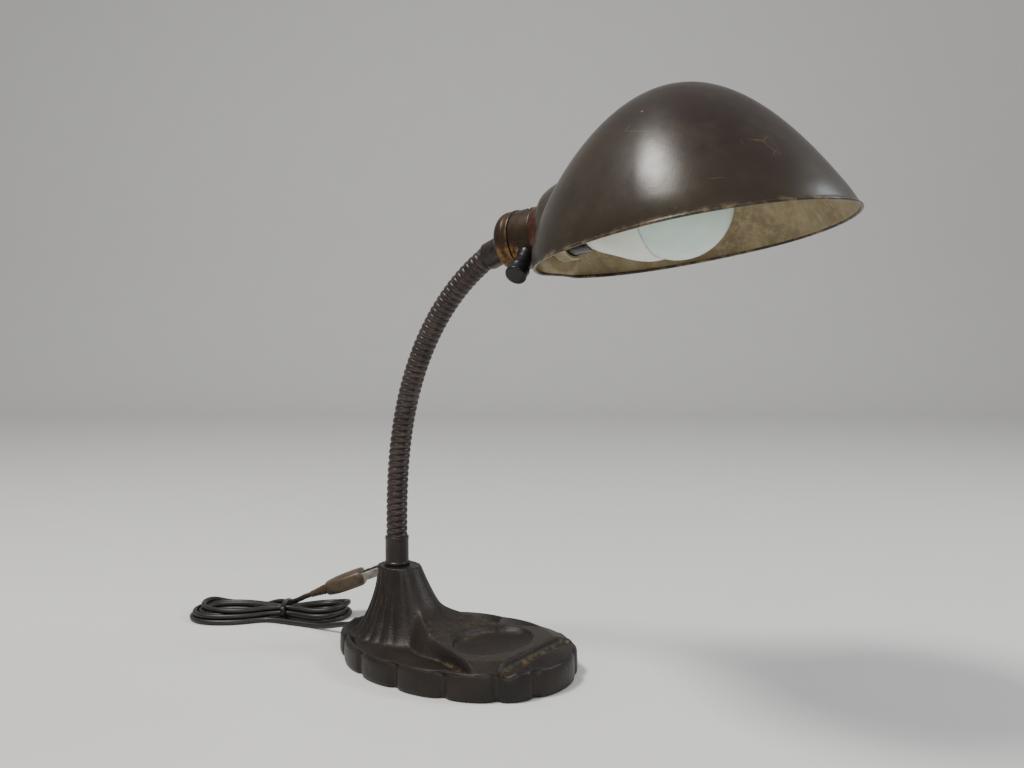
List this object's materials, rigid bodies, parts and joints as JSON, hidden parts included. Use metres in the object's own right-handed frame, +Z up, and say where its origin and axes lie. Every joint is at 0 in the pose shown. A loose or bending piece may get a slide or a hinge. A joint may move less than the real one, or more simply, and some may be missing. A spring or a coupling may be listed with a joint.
{
  "type": "gooseneck desk lamp",
  "caption": "Desk lamp with a scalloped cast base, dish and pen groove, a flexible ribbed neck, turn-knob lampholder, helmet shade and bulb.",
  "frame": {"origin": "on the floor, under the axis of the neck where it leaves the base, at the felt pad's lower face", "axes": "+Z up, +X forward from the neck towards the front of the base and shade, +Y to the left of someone looking along +X"},
  "size_m": [0.4999, 0.1646, 0.3624],
  "materials": {
    "cast_iron": "rough casting, dark bronze paint worn to gold on the edges",
    "felt": "wool felt",
    "steel": "plain",
    "neck_metal": "dark brown, satin, worn on the ridges",
    "holder_brass": "aged brass, dark patina with golden patches",
    "black_phenolic": "black, satin",
    "fibre": "vulcanised fibre",
    "porcelain": "glazed",
    "ring_metal": "ribbed, dull",
    "shade_bronze": "dark bronze outside, aged gold-cream inside, semi-gloss",
    "bulb_body": "white",
    "bulb_globe": "frosted",
    "cord_jacket": "dark brown, satin",
    "plug_brown": "brown moulded",
    "wire_insulation": "insulated wire"
  },
  "bodies": {
    "base": {"base": "cast_iron", "felt_pad": "felt", "base_nipple": "steel", "base_washer": "steel", "base_locknut": "steel", "cord_bushing": "black_phenolic", "base_lead": "cord_jacket", "lower_ferrule": "neck_metal", "cord_tube": "cord_jacket", "cord_hank": "cord_jacket", "cord_tie": "black_phenolic", "plug_body": "plug_brown", "plug_blade_1": "steel", "plug_blade_2": "steel", "plug_strain_relief": "plug_brown"},
    "neck_01": {"neck_link_01": "neck_metal"},
    "neck_02": {"neck_link_02": "neck_metal"},
    "neck_03": {"neck_link_03": "neck_metal"},
    "neck_04": {"neck_link_04": "neck_metal"},
    "neck_05": {"neck_link_05": "neck_metal"},
    "neck_06": {"neck_link_06": "neck_metal"},
    "neck_07": {"neck_link_07": "neck_metal"},
    "neck_08": {"neck_link_08": "neck_metal"},
    "neck_09": {"neck_link_09": "neck_metal"},
    "neck_10": {"neck_link_10": "neck_metal"},
    "neck_11": {"neck_link_11": "neck_metal"},
    "head": {"neck_end": "neck_metal", "upper_ferrule": "neck_metal", "upper_nipple": "steel", "holder_cap": "holder_brass", "holder_set_screw": "steel", "holder_shell": "holder_brass", "holder_liner": "fibre", "holder_sleeve": "black_phenolic", "shade_ring": "ring_metal", "holder_body": "porcelain", "centre_contact": "steel", "screw_shell": "holder_brass", "terminal_screw_hot": "steel", "terminal_screw_neutral": "steel", "lead_hot": "wire_insulation", "lead_neutral": "wire_insulation", "switch_bushing": "holder_brass"},
    "shade": {"shade": "shade_bronze"},
    "switch": {"switch_shaft": "steel", "switch_knob": "black_phenolic"},
    "bulb": {"bulb_tip": "steel", "bulb_screw_cap": "steel", "bulb_housing": "bulb_body", "led_board": "steel", "led_driver": "porcelain", "bulb_globe": "bulb_globe"}
  },
  "joints": [
    {"name": "neck_bend_1", "type": "hinge", "parent": "base", "child": "neck_01", "pos_m": [0, 0, 0.085], "axis": [0, 1, 0], "range_deg": [-6, 5]},
    {"name": "neck_swing_1", "type": "hinge", "parent": "neck_01", "child": "neck_02", "pos_m": [0.00023, 0, 0.10267], "axis": [0.9996, 0, -0.0274], "range_deg": [-5, 5]},
    {"name": "neck_bend_2", "type": "hinge", "parent": "neck_02", "child": "neck_03", "pos_m": [0.00107, 0, 0.12031], "axis": [0, 1, 0], "range_deg": [-6, 5]},
    {"name": "neck_swing_2", "type": "hinge", "parent": "neck_03", "child": "neck_04", "pos_m": [0.00277, 0, 0.13789], "axis": [0.9922, 0, -0.1247], "range_deg": [-5, 5]},
    {"name": "neck_bend_3", "type": "hinge", "parent": "neck_04", "child": "neck_05", "pos_m": [0.00553, 0, 0.15534], "axis": [0, 1, 0], "range_deg": [-6, 5]},
    {"name": "neck_swing_3", "type": "hinge", "parent": "neck_05", "child": "neck_06", "pos_m": [0.00953, 0, 0.17254], "axis": [0.9647, 0, -0.2634], "range_deg": [-5, 5]},
    {"name": "neck_bend_4", "type": "hinge", "parent": "neck_06", "child": "neck_07", "pos_m": [0.01488, 0, 0.18937], "axis": [0, 1, 0], "range_deg": [-6, 5]},
    {"name": "neck_swing_4", "type": "hinge", "parent": "neck_07", "child": "neck_08", "pos_m": [0.0217, 0, 0.20566], "axis": [0.9033, 0, -0.429], "range_deg": [-5, 5]},
    {"name": "neck_bend_5", "type": "hinge", "parent": "neck_08", "child": "neck_09", "pos_m": [0.03005, 0, 0.22122], "axis": [0, 1, 0], "range_deg": [-6, 5]},
    {"name": "neck_swing_5", "type": "hinge", "parent": "neck_09", "child": "neck_10", "pos_m": [0.03997, 0, 0.23583], "axis": [0.7957, 0, -0.6057], "range_deg": [-5, 5]},
    {"name": "neck_bend_6", "type": "hinge", "parent": "neck_10", "child": "neck_11", "pos_m": [0.05144, 0, 0.24926], "axis": [0, 1, 0], "range_deg": [-6, 5]},
    {"name": "neck_swing_6", "type": "hinge", "parent": "neck_11", "child": "head", "pos_m": [0.06441, 0, 0.26124], "axis": [0.633, 0, -0.7741], "range_deg": [-5, 5]},
    {"name": "shade_turn", "type": "hinge", "parent": "head", "child": "shade", "pos_m": [0.13382, 0, 0.28512], "axis": [0.9914, 0, 0.1305], "range_deg": [-90, 90]},
    {"name": "switch_turn", "type": "hinge", "parent": "head", "child": "switch", "pos_m": [0.11984, -0.02194, 0.26264], "axis": [0.089, -0.7314, -0.6762], "continuous": true},
    {"name": "bulb_unscrew", "type": "slide", "parent": "head", "child": "bulb", "axis": [0.9914, 0, 0.1305], "range_m": [0, 0.028]}
  ]
}
